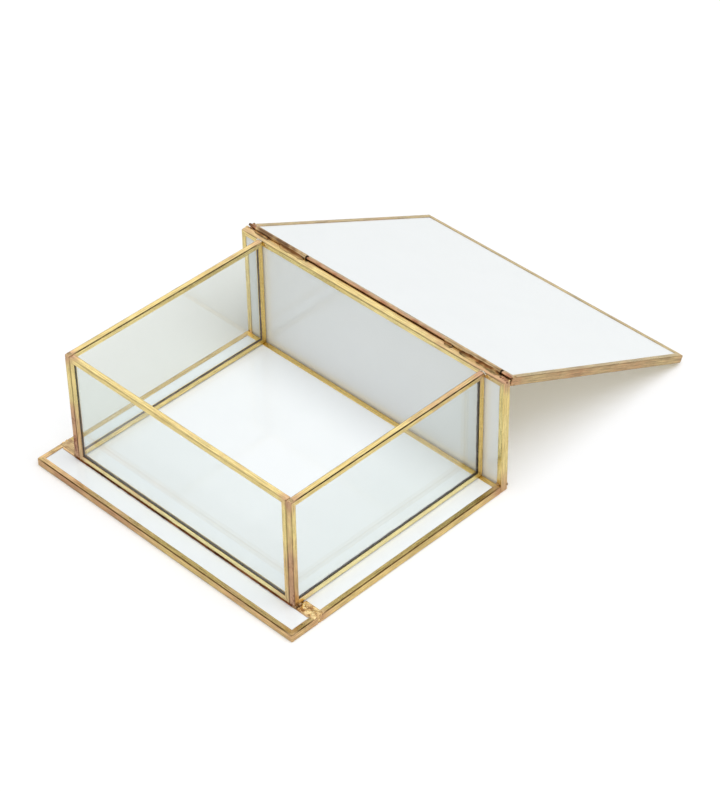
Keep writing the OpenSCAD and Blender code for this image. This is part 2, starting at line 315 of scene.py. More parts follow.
# dark red-brown for the painted shadow line at the front wall's foot
fluxBrown = brassMaterial("fluxBrown", "dark_solder", {
    "yellow": (0.30, 0.12, 0.05, 1), "olive": (0.24, 0.10, 0.04, 1), "tan": (0.24, 0.09, 0.035, 1),
    "pink": (0.16, 0.055, 0.022, 1), "brown": (0.06, 0.022, 0.01, 1)})
tinSolder = brassMaterial("tinSolder", "bright_solder", {
    "yellow": (0.97, 0.93, 0.82, 1), "olive": (0.95, 0.88, 0.70, 1), "tan": (0.86, 0.74, 0.55, 1),
    "roughLow": 0.08, "roughHigh": 0.2})
goldSolder = brassMaterial("goldSolder", "gold_solder", {"roughLow": 0.12, "roughHigh": 0.3})
print("casket: metals mixed")


# the folded channel

channelLook = {
    "sheet": 0.5, "fold": 0.8,        # mm, thickness of the sheet and outer radius of its folds
    "rimBack": (0, 0.05, 0.2),        # mm back from a flange's tip, and at these points
    "rimDrop": (0.18, 0.05, 0),       # mm that its two faces are rounded off
    "floorFrom": 0.6,                 # mm back from the tip, where the flange's flat part starts
    "corner": 0.9,                    # mm, radius of the filed corners, seen from above
    "pinch": 0.07,                    # mm, how far the flanges lean onto the pane
    "wobble": 0.0175, "wobbleSize": 17,  # mm, height and spacing of the dents from folding by hand
    "lump": 0.11, "lumpSize": 2.3,    # mm, height and spacing of the lumps in the solder
    "lumpRange": (-0.05, 0.3),        # mm, the lowest and highest lump
    "joint": 4.2, "jointHeat": 0.25,  # mm, how far the solder of a corner joint reaches, and its added tint
    "flangeHeat": 0.5,                # share of the torch's tint that the flanges take
}

# What the torch touched, on both sides: a point in mm, its reach in mm, and how strongly it tinted the brass
# at the left and at the right.
touchedTwice = [
    (half, front, thick, 9, 0.25, 0.25), (half, baseLow[1], thick, 9, 0.4, 0.4),
    (wallSide, wallFront, thick, 18, 0.6, 0.7), (wallSide, wallFront, thick + 12, 16, 1.25, 0.85),
    (wallSide, wallFront, thick + 30, 12, 1.15, 0.85), (wallSide, wallFront, top, 9, 0.5, 0.55),
    (wallSide, -2.8, top, 16, 0.3, 0.55), (wallSide, -34, top, 26, 0.2, 0.45),
    (wallSide, -2.8, thick, 9, 0.1, 0.2), (half, 0, top, 11, 0.1, 0.6), (half, 0, thick, 14, 0.4, 0.6),
    (half - 8, 3, top, 14, 0, 0.3), (60, 3, top, 16, 0.15, 0.3),
]
heatSpots = [(side * x, y, z, reach, strength) for x, y, z, reach, *strengths in touchedTwice
    for side, strength in zip((-1, 1), strengths)]
# the strip's front edge, and below it the top cover, where only x and y count
heatSpots += [(-82, front, thick, 24, 0.85), (-42, front, thick, 30, 0.65), (62, front, thick, 16, 0.35)]
lidSpots = [(side * half, y, 0, 12, 0.4) for side in (-1, 1) for y in (lidLow[1], lidHigh[1])]
lidSpots += [(side * half, y, 0, 26, 0.4) for side in (-1, 1) for y in (-60, -120)]
lidSpots += [(x, lidHigh[1], 0, 22, 0.45) for x in (-90, -50, -20, 20, 55, 90)]


def glow(points, spots, flat=False):
    # For each point the largest of the spots' strengths, each falling off as a bell with its reach. With
    # flat, the height doesn't count.
    spots = np.array(spots)
    gap = points[:, None, :] - spots[None, :, :3]
    if flat:
        gap = gap[..., :2]
    return (spots[:, 4] * np.exp(-((gap ** 2).sum(-1)) / spots[:, 3] ** 2)).max(1)


def channelProfile(thickness, width, look, creaseHalf):
    # The section's outer line from one flange's tip round the floor to the other's, and its inner line
    # beside it: depth from the outer edge, height across, and the way outward.
    r, inR, sheet, q = look["fold"], look["fold"] - look["sheet"], look["sheet"], thickness / 2
    rim, drop = np.array(look["rimBack"]), np.array(look["rimDrop"])
    bend = np.radians(np.linspace(90, 180, 12))
    offFold = abs(np.degrees(bend) - 135)
    flat = np.concatenate([width - rim, np.linspace(width - look["floorFrom"], r, 5)[:-1]])
    depth, inDepth = (np.concatenate([flat, r + radius * np.cos(bend)]) for radius in (r, inR))
    height = np.concatenate([q - drop, np.full(4, q), q - r + r * np.sin(bend)])
    inHeight = np.concatenate([q - sheet + drop, np.full(4, q - sheet), q - r + inR * np.sin(bend)])
    wayD = np.concatenate([[1, 0.7, 0], np.zeros(4), np.cos(bend)])
    wayH = np.concatenate([[0, 0.7, 1], np.ones(4), np.sin(bend)])
    # the dark line round the middle of the outer fold: partly tarnish, partly painted shade
    crease = np.concatenate([0 * flat, 1 - smooth(offFold, creaseHalf - 8, creaseHalf + 6)])
    lean = look["pinch"] * depth / width * (depth > r)
    height, inHeight = height - lean, inHeight - lean
    floor = np.linspace(q - r, -(q - r), 6)[1:-1]

    def joinUp(first, between, sign):
        # One half, what lies between, and the half mirrored.
        return np.concatenate([first, between, sign * first[::-1]])

    outer = np.stack([joinUp(depth, 0 * floor, 1), joinUp(height, floor, -1)], -1)
    inner = np.stack([joinUp(inDepth, 0 * floor + sheet, 1), joinUp(inHeight, floor, -1)], -1)
    way = np.stack([joinUp(wayD, 0 * floor - 1, 1), joinUp(wayH, 0 * floor, -1)], -1)
    return outer, inner, way, joinUp(crease, 0 * floor, 1)


def channelRows(length, depth, outward, corner):
    # Rows of the section from one mitre to the other. Each point of it keeps its depth along the straight
    # part, and near the ends runs on a quarter circle about the filed corner's centre, as far as the mitre.
    # Given back are x from the middle, y inward from the edge, and the way outward along both.
    bend = np.clip(corner - depth, 1e-9, None)
    straight = length / 2 - np.maximum(corner, depth)
    path = straight + np.where(depth < corner, bend, 0) * math.pi / 4
    # rows close together in the corner, then further apart up to the reach of the solder, then evenly
    near = np.concatenate([[0, 0.12, 0.25, 0.4, 0.55, 0.72], np.geomspace(0.9, 16, 26)])
    share = np.concatenate([near, np.linspace(16, length / 2, max(3, int(length / 6)))[1:]]) / (length / 2)
    gone = share[:, None] * path
    turn = np.where(gone < bend * math.pi / 4, math.pi / 4 - gone / bend, 0) * (depth < corner)
    x = np.where(turn > 0, straight + bend * np.sin(turn), path - gone)
    y = np.where(turn > 0, corner - bend * np.cos(turn), depth + 0 * gone)
    wayX, wayY = -outward * np.sin(turn), outward * np.cos(turn)
    # the other half mirrors this one
    return [np.concatenate([a, a[-2::-1] * s]) for a, s in ((x, -1), (y, 1), (wayX, -1), (wayY, 1))]


def channelPiece(node, normal, side, sign, blush, wider, fold, finish, closed=False):
    # One length of channel: its section, carried along the edge. Dents, and lumps of solder near the mitres,
    # then move each point outward. The top cover's lengths are worked out with the cover shut.
    look = channelLook
    low, high = nodeBox(node, closed)
    axis = 3 - normal - side
    length, thickness, width = (high - low)[[axis, normal, side]]
    width += wider
    outer, inner, way, crease = channelProfile(thickness, width, look, finish["creaseHalf"])
    loop = np.concatenate([outer, inner[::-1]])
    outward = np.concatenate([way, 0 * way])
    line = np.concatenate([crease, 0 * crease])
    depth = np.clip(loop[:, 0], 0, None)
    x, y, wayX, wayY = channelRows(length, depth, outward[:, 0], look["corner"])
    rows, columns = x.shape
    points, away = np.empty((rows, columns, 3)), np.empty((rows, columns, 3))
    edge = high[side] if sign > 0 else low[side]
    points[..., axis] = (low[axis] + high[axis]) / 2 + x
    points[..., side] = edge - sign * y
    points[..., normal] = (low[normal] + high[normal]) / 2 + loop[:, 1]
    away[..., axis], away[..., side], away[..., normal] = wayX, -sign * wayY, outward[:, 1]
    points, away = points.reshape(-1, 3), away.reshape(-1, 3)
    spots = lidSpots if closed else heatSpots
    joints = [(*end.mean(0), look["joint"], 1.0) for end in (points[:columns], points[-columns:])]
    heat = np.clip(glow(points, spots, flat=closed) + blush, 0, hottest)
    solder = glow(points, joints)
    dent = look["wobble"] * waves(points, look["wobbleSize"], 3) * (1 - solder)
    lump = look["lump"] * solder * (0.35 + 0.65 * waves(points, look["lumpSize"], 5))
    points = points + away * (dent + np.clip(lump, *look["lumpRange"]))[:, None]
    flange = np.tile(abs(outward[:, 1]) * (abs(outward[:, 0]) < 0.5), rows)
    heat = np.clip(heat + look["jointHeat"] * solder, 0, hottest) * (1 - (1 - look["flangeHeat"]) * flange)
    if closed:
        points = turned(points, -lidTurn)
    else:
        points[:, 2] = np.maximum(points[:, 2], tableGap)
    around = np.concatenate([[0], np.cumsum(np.linalg.norm(np.diff(loop, axis=0), axis=1))])
    # 2 marks the channel's hollow, which gets painted shade
    inside = np.concatenate([np.zeros(len(outer)), np.where(inner[::-1, 0] > width - 0.1, 1, 2)])
    shift = 40 * (len(node) % 7)     # mm, so that neighbours have other streaks
    lay = np.stack([x.ravel(), np.tile(around, rows) + shift, np.maximum(np.tile(inside, rows), flange)], -1)
    pair = np.arange(columns // 2 - 1)
    cap = np.stack([pair, pair + 1, columns - 2 - pair, columns - 1 - pair], -1)
    faces = [gridFaces(rows, columns), cap, cap + (rows - 1) * columns]
    name = "".join(word.capitalize() if k else word for k, word in enumerate(node.split("_")))
    # the solder hides most of the fold's dark line, which is partly tarnish and partly painted shade
    fades = fold * np.tile(line, rows) * (1 - 0.85 * solder * np.tile(np.any(outward != 0, 1), rows))
    body = "lid" if closed else "box"
    addPiece(name, points, faces, finish, body, [node], metalValues(heat, lay, fades))


# Panel: the axis it faces, its finish, and its sides as (name, axis, sign, tint along all of it, mm by which
# its flanges are wider, darkness of its folds' dark line, partly tarnish and partly painted shade). The
# strip's back channel peeps out before the front wall.
panels = {
    "base": (axisZ, coverBrass, [("front", axisY, -1, 0.1, -1.3, 0.5), ("right", axisX, 1, 0.15, 0, 1),
        ("back", axisY, 1, 0, 0, 0.5), ("left", axisX, -1, 0.1, 0, 0.8)]),
    "strip": (axisZ, coverBrass, [("front", axisY, -1, 0.18, 0, 1), ("right", axisX, 1, 0.12, 0, 1),
        ("back", axisY, 1, 0.4, 1.0, 0.5), ("left", axisX, -1, 0.4, 0, 0.8)]),
    "spine": (axisY, spineBrass, [("bottom", axisZ, -1, 0.1, 0, 0.3), ("right", axisX, 1, 0, 0, 0.1),
        ("top", axisZ, 1, 0.17, 0, 0.6), ("left", axisX, -1, 0, 0, 0.3)]),
    "front": (axisY, wallBrass, [("bottom", axisZ, -1, 0, 0, 1), ("right", axisX, 1, 0.1, 0, 0.45),
        ("top", axisZ, 1, 0.15, 0, 0.4), ("left", axisX, -1, 0.05, 0, 0.5)]),
    "right": (axisX, wallBrass, [("bottom", axisZ, -1, 0, 0, 0.5), ("back", axisY, 1, 0, 0, 0.1),
        ("top", axisZ, 1, 0.14, 0, 1), ("front", axisY, -1, 0.3, 0, 0.45)]),
    "left": (axisX, wallBrass, [("bottom", axisZ, -1, 0, 0, 0.5), ("back", axisY, 1, 0, 0, 0.1),
        ("top", axisZ, 1, 0.1, 0, 0.9), ("front", axisY, -1, 0.05, 0, 0.5)]),
    "lid": (axisZ, lidBrass, [("front", axisY, -1, 0.25, 0, 0.3), ("right", axisX, 1, 0.3, 0, 0.5),
        ("hinge", axisY, 1, 0.3, 0, 0.4), ("left", axisX, -1, 0.25, 0, 0.3)]),
}
# The lengths that mirror each other in the spine's corners are of a deeper gold, a painted reflection of each
# other, and two feet are paler, a painted brighter reflection.
ownBrass = {"base_came_back": innerBrass, "spine_came_bottom": innerBrass, "right_came_back": postBrass,
    "left_came_back": postBrass, "front_came_bottom": footBrass, "right_came_bottom": footBrass}
for panel, (facing, finish, sides) in panels.items():
    for name, axis, sign, *look in sides:
        node = f"{panel}_came_{name}"
        channelPiece(node, facing, axis, sign, *look, ownBrass.get(node, finish), closed=panel == "lid")
print("casket: channel folded")


# hinge

hingeLook = {
    "tubeOut": 1.5, "tubeIn": 0.98,   # mm, the tubes' radii
    "lip": 0.12,                      # mm, how far the tubes' ends are rounded
    "mouth": 0.2, "flare": 0.05,      # mm, how deep and how much wider the bore's mouth is
    "tubeWobble": 0.03,               # mm, dents along the tubes
    "seam": 118, "seamWide": 9,       # degrees, where a tube's dark seam is, and how wide
    "burnt": 0.9,                     # mm, how far the black at a tube's open end, painted shade, reaches
    "rod": 0.9, "rodTip": 0.25,       # mm, the rod's radius, and how far its ends are bevelled
    "rodWobble": 0.02,                # mm, bends along the rod
}
tubeR, rodR = hingeLook["tubeOut"], hingeLook["rod"]


def roundRows(x, radius, count=32):
    # Rings of the given radii round the hinge's line at the given x: y and z are the radius times the cosine
    # and the sine of the turn.
    a = np.arange(count) * 2 * math.pi / count
    ring = np.stack([0 * a, np.cos(a), np.sin(a)], -1)
    points = ring[None] * np.array(radius)[:, None, None]
    points[..., 0] += np.array(x)[:, None]
    points[..., 1:] += hingeAt[1:]
    return points.reshape(-1, 3), a


def hingeTube(name, node, spots):
    # A tube: its outer line, its rounded ends and its bore carried round the hinge's line as one closed ring.
    look = hingeLook
    left, right = (corner[0] for corner in nodeBox(node))
    lip, mouth, out, bore = look["lip"], look["mouth"], look["tubeOut"], look["tubeIn"]
    edge, wide = lip * 0.3, bore + look["flare"]
    x = np.linspace(left + lip, right - lip, 150)
    rows = np.concatenate([x,
        [right - edge, right, right, right - mouth, left + mouth, left, left, left + edge]])
    radius = np.concatenate([0 * x + out,
        [out - edge, out - lip, wide, bore, bore, wide, out - lip, out - edge]])
    points, a = roundRows(rows, radius)
    outside = np.repeat(radius, len(a)) > bore + 0.1
    away = points - [0, hingeAt[1], hingeAt[2]]
    away[:, 0] = 0
    dent = look["tubeWobble"] * waves(points, 5, 11) * outside
    points = points + away / np.linalg.norm(away, axis=1)[:, None] * dent[:, None]
    this, last = np.arange(len(a)), (len(rows) - 1) * len(a)
    following = np.roll(this, -1)
    faces = [gridFaces(len(rows), len(a)), np.stack([last + this, last + following, following, this], -1)]
    heat = glow(points, spots) + 0.1 * waves(points, 6, 12)
    # dark along the seam, and painted shade at the open end and in the bore
    seam = 0.6 * np.exp(-((np.degrees(np.tile(a, len(rows))) - look["seam"]) / look["seamWide"]) ** 2)
    burnt = smooth(points[:, 0], right - look["burnt"], right - look["burnt"] * 0.4)
    line = np.maximum(seam, np.maximum(burnt, ~outside))
    lay = np.stack([points[:, 0], np.tile(a * out, len(rows)), 0 * points[:, 0]], -1)
    addPiece(name, points, faces, tubeBrass, "box", [node], metalValues(heat, lay, line))


hingeTube("hingeTubeLeft", "hinge_tube_left", [(-78, *hingeAt[1:], 10, 1.0), (-93, *hingeAt[1:], 10, 0.75)])
hingeTube("hingeTubeRight", "hinge_tube_right", [(90, *hingeAt[1:], 13, 0.3), (101, *hingeAt[1:], 6, 0.6)])


def hingeRod(name, node):
    # The rod: a ring of its radius at each x, and a bevelled end that is all but closed at both ends.
    left, right = (corner[0] for corner in nodeBox(node))
    tip, middle = hingeLook["rodTip"], 0.02
    x = np.linspace(left + tip, right - tip, 300)
    rows = np.concatenate([[left, left], x, [right, right]])
    radius = np.concatenate([[middle, rodR - tip], 0 * x + rodR, [rodR - tip, middle]])
    points, a = roundRows(rows, radius, 24)
    points[:, 1:] += hingeLook["rodWobble"] * np.stack([waves(points, 9, seed) for seed in (21, 22)], -1)
    # half tinted all along, and burnt at the left end
    heat = 0.5 + 0.25 * waves(points, 8, 23) + smooth(-points[:, 0], 101, 105)
    lay = np.stack([points[:, 0], np.tile(a * rodR, len(rows)), 0 * points[:, 0]], -1)
    addPiece(name, points, ringFaces(len(rows), len(a)), rodBrass, "lid", [node],
        metalValues(heat, lay, most=1.4))


hingeRod("hingeRod", "hinge_rod")


# solder

def runPiece(name, runs, outline, finish, body, nodes, heat, lump, seed, lumpSize=2.4):
    # Solder that ran along an edge. Its outline [y, z] round a buried middle is carried along x over each
    # run, grown and shrunk by a swell, and drawn in to the middle on an ellipse at both ends. The heat is a
    # function of the points. On the top cover it is worked out with the cover shut.
    allPoints, allFaces, start = [], [], 0
    middle = outline.mean(0)
    for run, (x0, x1, size, taper) in enumerate(runs):
        count = max(24, int((x1 - x0) / 0.3))
        x = x0 + (x1 - x0) * (1 - np.cos(np.linspace(0, math.pi, count))) / 2
        fade = np.clip(np.minimum(x - x0, x1 - x) / taper, 0, 1)
        uneven = 1 + 0.08 * waves(np.stack([x, 0 * x, 0 * x], -1), 9, seed + run)
        swell = size * np.sqrt(1 - (1 - fade) ** 2) * uneven
        shape = middle + (outline - middle) * swell[:, None, None]
        points = np.concatenate([np.repeat(x, len(outline))[:, None], shape.reshape(-1, 2)], 1)
        away = np.concatenate([0 * points[:, :1], points[:, 1:] - middle], 1)
        away /= np.linalg.norm(away, axis=1)[:, None] + 1e-9
        height = lump * waves(points, lumpSize, seed + run) * np.repeat(fade, len(outline))
        points = points + away * height[:, None]
        allPoints.append(points)
        allFaces += ringFaces(len(x), len(outline), start)
        start += len(points)
    points = np.concatenate(allPoints)
    lay = np.stack([points[:, 0], points[:, 2], 0 * points[:, 0]], -1)
    values = metalValues(heat(points) + 0.16 * waves(points, 5, seed + 9), lay)
    if body == "lid":
        points = turned(points, -lidTurn)
    addPiece(name, points, allFaces, finish, body, nodes, values, sharp=50)


def curve(first, bend, last, count=9):
    # Points on the quadratic curve from first to last that leans toward bend.
    t = np.linspace(0, 1, count)[:, None]
    return (1 - t) ** 2 * np.array(first) + 2 * t * (1 - t) * np.array(bend) + t ** 2 * np.array(last)


hy, hz = hingeAt[1:]


def onTube(angle, radius):
    # The point [y, z] at an angle in degrees and a radius in mm round the hinge's line.
    return [hy + radius * math.cos(math.radians(angle)), hz + radius * math.sin(math.radians(angle))]


# fillet between the tubes and the top of the spine, and the pad that the open cover stops on
stopBack = nodeBox("tube_solder_left")[1][1]
topFillet = np.concatenate([curve([back - 3.7, top - 0.05], [back - 1.4, top + 0.05], onTube(148, 1.53)),
    [onTube(180, 1.2), onTube(230, 1.1), [back - 1.2, top - 1.4], [back - 3.0, top - 0.4]]])
backPad = np.concatenate([curve(onTube(322, 1.46), [stopBack - 0.5, top - 0.9], [back + 0.75, top - 3.3]),
    [[back - 0.3, top - 3.6], [back - 0.5, top - 1.5], onTube(225, 1.1)]])


def darkNearTube(points):
    # How dark the solder is, partly torch tint and partly painted shadow of the gap under the tube: 1.2
    # against the tube, and 0.62 less for each mm away from it.
    gap = np.hypot(points[:, 1] - hy, points[:, 2] - hz) - tubeR
    return 1.2 - 0.62 * gap


def tubeSolder(name, node, tops, pads):
    # The fillet and the pads of one tube, over the runs given for each.
    runPiece(name, tops, topFillet, darkSolder, "box", [node], darkNearTube, lump=0.05, lumpSize=4.5, seed=41)
    runPiece(name + "Pad", pads, backPad, darkSolder, "box", [node], darkNearTube, lump=0.04, seed=51)


tubeSolder("tubeSolderLeft", "tube_solder_left", [(-80, -59.5, 1.0, 9), (-102, -90, 0.6, 5)],
    [(-78, -59, 1.0, 2), (-101.5, -95.5, 1.0, 2)])
tubeSolder("tubeSolderRight", "tube_solder_right", [(59, 65, 0.75, 2), (71, 102, 0.95, 6)],
    [(59, 78, 1.0, 2), (95.5, 101.5, 1.0, 2)])

# solder between the rod and the top cover, worked out with the cover shut
gapSide, lowFace = lidHigh[1], lidLow[2]
rodLap = np.concatenate([
    curve([gapSide - 1.5, lowFace - 0.04], [gapSide + 0.35, lowFace - 0.05], onTube(-118, rodR + 0.05)),
    [onTube(angle, rodR * 0.7) for angle in (-90, 60)],
    curve(onTube(112, rodR + 0.05), [gapSide + 0.25, hz + 0.9], [gapSide + 0.04, hz + 2.6]),
    [[gapSide - 0.5, hz + 2.4], [gapSide - 0.6, lowFace + 0.7], [gapSide - 1.5, lowFace + 0.3]]])


def alongRod(points):
    # How burnt the rod's solder is: 1.4 at the left end and 1 at the right one, and along the middle 0.8 at
    # its left, less 0.006 for each mm to the right.
    x = points[:, 0]
    return np.where(abs(x) > 100, 1.2 - 0.2 * np.sign(x), 0.8 - 0.006 * (x + 57))


rodRuns = [(-57.3, 57.3, 1.0, 1.6), (-109, -103, 1.05, 1.6), (103, 109, 1.05, 1.6)]
runPiece("rodSolder", rodRuns, rodLap, pinkSolder, "lid", ["rod_solder"], alongRod,
    lump=0.06, lumpSize=3.5, seed=61)


def bothSides(drops):
    # The drops at the left and then at the right, where x is minus and plus their own.
    return [[side * x, *rest] for side in (-1, 1) for x, *rest in drops]


def dropsPiece(name, drops, finish, nodes, heat, seed, body="box", lump=0.10, lumpSize=1.1):
    # Drops of solder: each is an ellipsoid with bumps, over latitude and longitude. A drop is its middle and
    # its three half sizes, all in mm. On the top cover they are worked out with the cover shut.
    down, across = 15, 24
    tilt = np.linspace(0, math.pi, down)[1:-1]
    turn = np.arange(across) * 2 * math.pi / across
    ball = np.stack([np.outer(np.sin(tilt), np.cos(turn)), np.outer(np.sin(tilt), np.sin(turn)),
        np.outer(np.cos(tilt), 1 + 0 * turn)], -1).reshape(-1, 3)
    ball = np.concatenate([ball, [[0, 0, 1], [0, 0, -1]]])
    drops = np.array(drops, float)
    points = drops[:, None, :3] + ball[None] * drops[:, None, 3:6]
    points = points + ball[None] * (lump * waves(points, lumpSize, seed))[..., None]
    count = len(ball)
    one = [gridFaces(down - 2, across), fanFaces(np.arange(across), count - 2),
        fanFaces(np.arange(across) + (down - 3) * across, count - 1)]
    faces = [part + count * k for k in range(len(drops)) for part in one]
    points = points.reshape(-1, 3)
    if body == "box":
        points[:, 2] = np.maximum(points[:, 2], tableGap)
    values = metalValues(heat + 0.25 * waves(points, 2.5, seed + 1), points[:, [0, 2, 1]] * [1, 1, 0])
    if body == "lid":
        points = turned(points, -lidTurn)
    addPiece(name, points, faces, finish, body, nodes, values, sharp=70)


# a dark line along the front wall's foot, in front of it: painted shadow of the gap under the wall
footLine = np.concatenate([
    curve([wallFront - 0.75, thick - 0.02], [wallFront - 0.3, thick + 0.12],
        [wallFront + 0.05, thick + 0.35]),
    [[wallFront + 0.4, thick + 0.3], [wallFront + 0.4, thick - 0.3], [wallFront - 0.6, thick - 0.2]]])
runPiece("footFlux", [(-wallSide + 0.4, wallSide - 0.4, 1.0, 2)], footLine, fluxBrown, "box", [],
    lambda points: 0.95 + 0.25 * waves(points, 20, 68), lump=0.04, lumpSize=3, seed=67)


def crossSolder(name, side, node, seed, rough, finish):
    # The cross piece: a puddle of solder over the strip's and the main cover's channel, outside the wall. Its
    # height is a low dome across, with three sizes of ripples, over a buried flat underside.
    across = np.linspace(-1, 1, 46)
    x = np.linspace(wallSide + 0.4, half - 0.25, 70)
    y = gapMiddle + 4.05 * across
    edge = smooth(1 - abs(across), 0, 0.22)[None] * smooth(np.minimum(x - x[0], x[-1] - x), 0, 0.8)[:, None]
    flat = np.stack([*np.meshgrid(x, y, indexing="ij"), np.zeros((len(x), len(y)))], -1)
    crumple = flat * [0.7, 1, 1]
    ripple = 0.16 * waves(crumple, 6, seed) + 0.12 * abs(waves(crumple, 3.4, seed + 1))
    ripple += 0.03 * waves(flat, 1.4, seed + 3)
    flat[..., 2] = thick - 0.10 + edge * (0.34 + rough * ripple)
    under = flat[:, [-1, 0]] * [1, 1, 0] + [0, 0, thick - 0.45]
    rings = np.concatenate([flat, under], 1)
    points = rings.reshape(-1, 3) * [side, 1, 1]
    values = metalValues(0.3 + 0.3 * waves(points, 4.5, seed + 2), points * [1, 1, 0])
    addPiece(name, points, ringFaces(len(x), rings.shape[1]), finish, "box", [node], values, sharp=70)


crossSolder("stripSolderLeft", -1, "strip_solder_left", 81, 0.5, tanSolder)
crossSolder("stripSolderRight", 1, "strip_solder_right", 85, 1.5, brightSolder)
edgeX = half - 0.75
dropsPiece("stripEdgeSolder", bothSides([
    (edgeX, gapMiddle, thick - 2.7, 0.8, 0.9, 2.5), (edgeX, gapMiddle - 0.9, thick - 0.5, 1.0, 1.5, 0.8),
    (edgeX, gapMiddle + 1.4, thick - 0.4, 0.9, 1.2, 0.7),
    (edgeX, gapMiddle + 0.3, thick - 1.5, 0.95, 1.0, 0.8)]), brightSolder, [], heat=0.5, seed=83)
cornerX, cornerY = (wallSide + wallInner) / 2, wallFront + (wallSide - wallInner) / 2
dropsPiece("cornerSolder", bothSides([(cornerX, cornerY, top - 0.25, 2.0, 2.0, 0.5)]), tanSolder,
    ["corner_solder"], heat=0.35, seed=91, lump=0.05, lumpSize=1.6)
backDrops = bothSides([
    (wallSide - 0.3, inBack - 0.1, top - 0.5, 0.6, 0.6, 0.6),
    (wallSide - 1.6, inBack - 0.15, top - 0.9, 0.55, 0.5, 0.7),
    (half - 3.0, inBack + 0.2, thick + 0.1, 1.1, 1.1, 0.8),
    (half - 0.6, back - 0.8, top - 0.35, 0.9, 0.9, 0.4),
    (half - 0.6, 1.2, top - 0.2, 0.7, 0.9, 0.45), (half - 2.0, back - 1.4, top - 0.15, 1.2, 0.8, 0.35)])
backDrops += [[x, inBack + 0.05, top - 1.7, 2.0, 0.35, 1.3] for x in (wallSide + 3.2, 2.6 - wallInner)]
dropsPiece("dropSolder", backDrops, goldSolder, ["drop_solder"], heat=0.35, seed=95)
dropsPiece("footSolder", bothSides([
    (wallSide + 0.3, wallFront + 0.9, thick + 0.2, 1.1, 1.4, 0.8),
    (wallSide + 0.4, wallFront + 3.4, thick + 0.5, 0.9, 1.5, 0.9),
    (wallSide - 1.2, wallFront - 0.05, thick + 0.1, 1.2, 0.6, 0.5),
    (half - 0.5, back - 0.6, thick - 1.2, 0.9, 0.9, 1.2)]), tanSolder, [], heat=0.9, seed=97)
dropsPiece("spineCornerSolder", [[half - x, back - y, top - z, a, b, c] for x, y, z, a, b, c in [
    (0.8, 1.6, 0, 0.75, 0.65, 0.4), (1.9, 2.4, 0, 0.9, 0.65, 0.4), (2.7, 1.7, 0, 0.8, 0.5, 0.4),
    (4.0, 2.1, 0, 1.0, 0.6, 0.35), (0.3, 2.9, 0.6, 0.5, 0.9, 0.7), (5.6, 2.3, 0, 1.0, 0.5, 0.35)]],
    pinkSolder, [], heat=1.1, seed=93, lump=0.08)
dropsPiece("jointSolder", bothSides([
    (wallSide - 0.2, inBack - 0.25, top, 0.75, 0.6, 0.35),
    (wallSide - 1.4, inBack + 0.1, top, 0.65, 0.55, 0.35),
    (wallSide + 0.4, inBack - 0.1, top - 1.0, 0.5, 0.5, 0.6),
    (wallSide - 3.0, inBack - 0.2, top, 0.5, 0.45, 0.3)]),
    tinSolder, [], heat=0, seed=94, lump=0.08, lumpSize=0.8)
lidDrops = [[half - 1.0, gapSide - 0.7, lowFace + 0.7, 0.9, 0.8, 0.6]] + bothSides([
    (half - 0.6, lidLow[1] + 0.7, lowFace + 0.1, 1.0, 1.0, 0.6),
    (half - 0.5, lidLow[1] + 0.6, lidHigh[2] - 0.6, 0.8, 0.9, 0.8)])
dropsPiece("lidCornerSolder", lidDrops, tanSolder, [], heat=0.6, seed=99, body="lid")
print("casket: hinge and solder laid")


# glass

whiteLook = {
    "colour": (0.895, 0.908, 0.915, 1), "shade": (0.883, 0.897, 0.904, 1), "dust": (0.72, 0.71, 0.68, 1),
    "roughLow": 0.05, "roughHigh": 0.13,
    "ripple": 0.10,                   # how strong the ripple of its face is
}
clearLook = {
    "tint": (0.90, 0.932, 0.93, 1), "shadow": (0.965, 0.985, 0.98, 1),   # its colour, and that of its shadow
    "smudge": 0.035,                  # how rough the smudges are
}


def whiteMaterial(look):
    # Opaque white glass, polished: a little mottling, a faint ripple and fine dust.
    material, tree, end = startMaterial("whiteGlass")
    place = addNode(tree, "TexCoord").outputs["Object"]
    cloud = bumps(tree, place, 38, 3.0)
    dust = bumps(tree, place, 0.7, 2.0)
    colour = blendColour(tree, rise(tree, cloud, 0.3, 0.7), look["colour"], look["shade"])
    colour = blendColour(tree, rise(tree, dust, 0.74, 0.80, 0.0, 0.35), colour, look["dust"])
    roughness = rise(tree, bumps(tree, place, 14, 4.0), 0.3, 0.7, look["roughLow"], look["roughHigh"])
    shader = addNode(tree, "BsdfPrincipled", {"Base Color": colour, "Roughness": roughness, "IOR": 1.5,
        "Normal": relief(tree, look["ripple"], 0.4, bumps(tree, place, 30, 1.0))}).outputs[0]
    tree.links.new(shader, end.inputs[0])
    return material


def clearMaterial(look):
    # Clear glass: a slight green tint, faint smudges, and light that passes straight through to the panels.
    material, tree, end = startMaterial("clearGlass")
    place = addNode(tree, "TexCoord").outputs["Object"]
    smudge = rise(tree, bumps(tree, place, 22, 5.0, 0.65), 0.5, 0.8, 0.0, look["smudge"])
    shader = addNode(tree, "BsdfPrincipled", {"Base Color": look["tint"], "Roughness": smudge, "IOR": 1.5,
        "Transmission Weight": 1.0}).outputs[0]
    through = addNode(tree, "BsdfTransparent", {0: look["shadow"]}).outputs[0]
    ray = addNode(tree, "LightPath")
    passing = sums(tree, "MAXIMUM", ray.outputs["Is Shadow Ray"], ray.outputs["Is Diffuse Ray"])
    mixed = addNode(tree, "MixShader", {0: passing, 1: shader, 2: through}).outputs[0]
    tree.links.new(mixed, end.inputs[0])
    return material


whiteGlass, clearGlass = whiteMaterial(whiteLook), clearMaterial(clearLook)
for node, piece in frame["nodes"].items():
    finish = whiteGlass if node.endswith("_panel") else clearGlass if node.endswith("_glass") else None
    if finish:
        for slot in piece.material_slots:
            slot.material = finish

